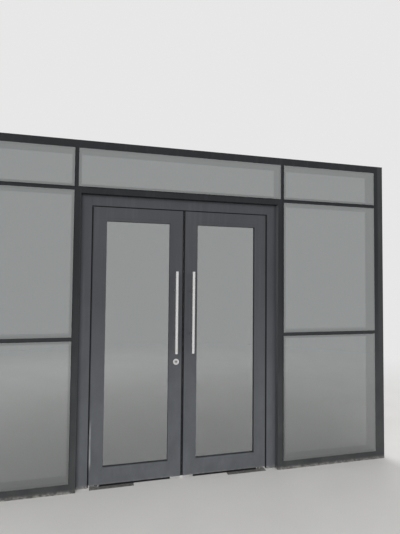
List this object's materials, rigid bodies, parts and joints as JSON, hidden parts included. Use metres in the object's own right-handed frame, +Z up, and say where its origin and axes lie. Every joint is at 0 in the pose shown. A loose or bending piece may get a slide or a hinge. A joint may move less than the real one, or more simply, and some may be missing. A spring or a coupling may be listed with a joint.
{
  "type": "double-leaf glass entrance door with sidelights",
  "caption": "Double-leaf glazed aluminium swing door on floor springs, with its frame, top light and sidelights, long tubular pulls, deadlock and flush bolts.",
  "frame": {"origin": "on the floor line, midway between the two leaves, in the plane of the outer face of the fixed glass", "axes": "+X to the right seen from outside, +Y into the building, +Z up"},
  "size_m": [3.784, 0.23, 2.7575],
  "materials": {
    "screen_coating": "satin charcoal powder coating on aluminium",
    "door_coating": "satin slate-grey powder coating on aluminium",
    "mill_aluminium": "bare extruded aluminium",
    "screen_glass": "clear float glass with ground edges",
    "leaf_glass": "clear toughened glass",
    "black_rubber": "black rubber",
    "black_pile": "black woven pile",
    "fastener_steel": "zinc-plated steel",
    "pivot_steel": "plain steel",
    "cover_steel": "brushed stainless steel",
    "closer_iron": "painted cast iron",
    "pull_steel": "satin stainless steel",
    "lock_chrome": "satin chrome",
    "lock_brass": "turned nickel brass"
  },
  "bodies": {
    "screen": {"outer_jambs": "screen_coating", "mullions": "screen_coating", "head": "screen_coating", "door_transom": "screen_coating", "sidelight_rails": "screen_coating", "bottom_rails": "screen_coating", "frame_cleats": "mill_aluminium", "transom_glass": "screen_glass", "left_top_glass": "screen_glass", "right_top_glass": "screen_glass", "left_middle_glass": "screen_glass", "right_middle_glass": "screen_glass", "left_lower_glass": "screen_glass", "right_lower_glass": "screen_glass", "glazing_tapes": "black_rubber", "door_jambs": "door_coating", "door_head": "door_coating", "frame_seals": "black_pile", "top_pivots": "pivot_steel", "top_bolt_keeper": "fastener_steel", "floor_boxes": "pivot_steel", "floor_covers": "cover_steel", "floor_springs": "closer_iron"},
    "left_leaf": {"left_hinge_stile": "door_coating", "left_meeting_stile": "door_coating", "left_top_rail": "door_coating", "left_bottom_rail": "door_coating", "left_corner_blocks": "mill_aluminium", "left_leaf_glass": "leaf_glass", "left_beads": "door_coating", "left_gaskets": "black_rubber", "left_leaf_seals": "black_pile", "left_pulls": "pull_steel", "left_top_pivot_plate": "pivot_steel", "left_bottom_arm": "pivot_steel", "left_spindle": "pivot_steel", "lock_case": "cover_steel", "lock_rings": "pull_steel", "lock_cylinder": "lock_chrome"},
    "right_leaf": {"right_hinge_stile": "door_coating", "right_meeting_stile": "door_coating", "right_top_rail": "door_coating", "right_bottom_rail": "door_coating", "right_corner_blocks": "mill_aluminium", "right_leaf_glass": "leaf_glass", "right_beads": "door_coating", "right_gaskets": "black_rubber", "right_leaf_seals": "black_pile", "right_pulls": "pull_steel", "right_top_pivot_plate": "pivot_steel", "right_bottom_arm": "pivot_steel", "right_spindle": "pivot_steel", "strike_plate": "cover_steel", "flush_bolt_plates": "cover_steel"},
    "lock_bolt": {"lock_bolt": "cover_steel"},
    "key_plug": {"key_plug": "lock_brass"},
    "thumb_turn": {"thumb_turn": "lock_chrome"},
    "top_flush_bolt": {"top_flush_bolt": "cover_steel"},
    "bottom_flush_bolt": {"bottom_flush_bolt": "cover_steel"}
  },
  "joints": [
    {"name": "left_leaf_swing", "type": "hinge", "parent": "screen", "child": "left_leaf", "pos_m": [-0.678, 0.085, 0], "axis": [0, 0, 1], "range_deg": [-90, 90], "stiffness_Nm_per_rad": 11},
    {"name": "right_leaf_swing", "type": "hinge", "parent": "screen", "child": "right_leaf", "pos_m": [0.678, 0.085, 0], "axis": [0, 0, 1], "range_deg": [-90, 90], "stiffness_Nm_per_rad": 11},
    {"name": "lock_bolt_slide", "type": "slide", "parent": "left_leaf", "child": "lock_bolt", "axis": [1, 0, 0], "range_m": [0, 0.034]},
    {"name": "key_turn", "type": "hinge", "parent": "left_leaf", "child": "key_plug", "pos_m": [-0.057, 0.07, 0.944], "axis": [0, 1, 0], "range_deg": [0, 90]},
    {"name": "thumb_turn_turn", "type": "hinge", "parent": "left_leaf", "child": "thumb_turn", "pos_m": [-0.057, 0.1, 0.944], "axis": [0, 1, 0], "range_deg": [0, 90]},
    {"name": "top_bolt_slide", "type": "slide", "parent": "right_leaf", "child": "top_flush_bolt", "axis": [0, 0, 1], "range_m": [0, 0.03]},
    {"name": "bottom_bolt_slide", "type": "slide", "parent": "right_leaf", "child": "bottom_flush_bolt", "axis": [0, 0, -1], "range_m": [0, 0.03]}
  ],
  "couplings": [
    {"joint": "key_turn", "follows": "lock_bolt_slide", "rad_per_m": 46.19},
    {"joint": "thumb_turn_turn", "follows": "lock_bolt_slide", "rad_per_m": 46.19}
  ]
}
